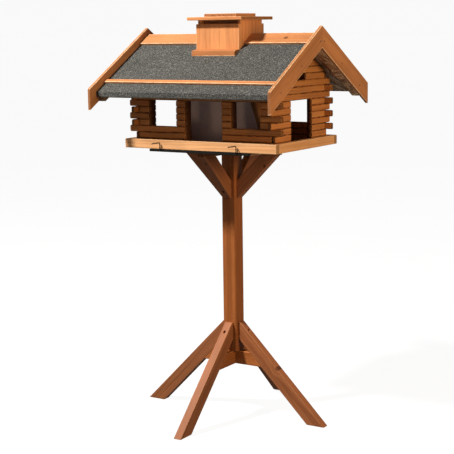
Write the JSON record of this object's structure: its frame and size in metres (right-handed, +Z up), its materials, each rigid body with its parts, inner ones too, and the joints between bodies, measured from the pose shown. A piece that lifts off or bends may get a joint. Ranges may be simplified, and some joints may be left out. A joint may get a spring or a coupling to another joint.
{
  "type": "bird feeder on a post",
  "caption": "Log-cabin bird feeder house with felted gable roof, seed silo filled through the chimney and pull-out floor, on a square post with braced cross legs.",
  "frame": {"origin": "on the ground, below the middle of the post", "axes": "+Z up the post, X along the roof ridge, -Y towards the drawer's front strip"},
  "size_m": [0.605, 0.605, 1.1574],
  "materials": {
    "post_timber": "stained sawn softwood, satin",
    "brace_timber": "stained sawn softwood, satin",
    "tray_timber": "stained planed softwood, satin",
    "log_slats": "stained planed softwood, satin",
    "inner_timber": "stained softwood, matt",
    "roof_board": "oriented strand board, matt",
    "roof_felt": "mineral-surfaced roofing felt",
    "trim_timber": "stained planed softwood, satin",
    "chimney_timber": "stained planed softwood, satin",
    "drawer_black": "black, matt",
    "wire_black": "black enamel",
    "smoke_acrylic": "smoke-tinted clear sheet",
    "fixings": "dull zinc"
  },
  "bodies": {
    "feeder": {"back_slats_high": "log_slats", "back_slats_low": "log_slats", "barge_left_back": "trim_timber", "barge_left_front": "trim_timber", "barge_nails": "fixings", "barge_right_back": "trim_timber", "barge_right_front": "trim_timber", "chimney_back": "chimney_timber", "chimney_front": "chimney_timber", "chimney_left": "chimney_timber", "chimney_right": "chimney_timber", "chimney_skirts": "trim_timber", "drawer_stop": "post_timber", "felt_back": "roof_felt", "felt_front": "roof_felt", "floor_panel": "tray_timber", "front_slats_high": "log_slats", "front_slats_low": "log_slats", "gable_posts": "inner_timber", "head_bar_x": "post_timber", "head_bar_y": "post_timber", "left_slats_high": "log_slats", "left_slats_low": "log_slats", "leg_back": "brace_timber", "leg_front": "brace_timber", "leg_left": "brace_timber", "leg_right": "brace_timber", "leg_screws": "fixings", "post": "post_timber", "rail_back": "tray_timber", "rail_front": "tray_timber", "rail_left": "tray_timber", "rail_right": "tray_timber", "ridge_boards_back": "trim_timber", "ridge_boards_front": "trim_timber", "right_slats_high": "log_slats", "right_slats_low": "log_slats", "roof_battens": "trim_timber", "roof_panel_back": "roof_board", "roof_panel_front": "roof_board", "runner_left": "tray_timber", "runner_right": "tray_timber", "silo_plate_back": "smoke_acrylic", "silo_plate_front": "smoke_acrylic", "silo_sides": "inner_timber", "stretcher_x": "post_timber", "stretcher_y": "post_timber", "strut_back": "brace_timber", "strut_front": "brace_timber", "strut_left": "brace_timber", "strut_right": "brace_timber", "strut_screws": "fixings", "verge_battens": "roof_board", "wall_posts": "inner_timber"},
    "drawer": {"drawer_plate": "drawer_black", "drawer_front_strip": "drawer_black", "wire_pulls": "wire_black"},
    "chimney_cap": {"cap_plate": "chimney_timber", "cap_top_plate": "chimney_timber", "cap_block": "chimney_timber"}
  },
  "joints": [
    {"name": "drawer_slide", "type": "slide", "parent": "feeder", "child": "drawer", "axis": [0, -1, 0], "range_m": [0, 0.27]},
    {"name": "chimney_cap_lift", "type": "slide", "parent": "feeder", "child": "chimney_cap", "axis": [0, 0, 1], "range_m": [0, 0.15]}
  ]
}
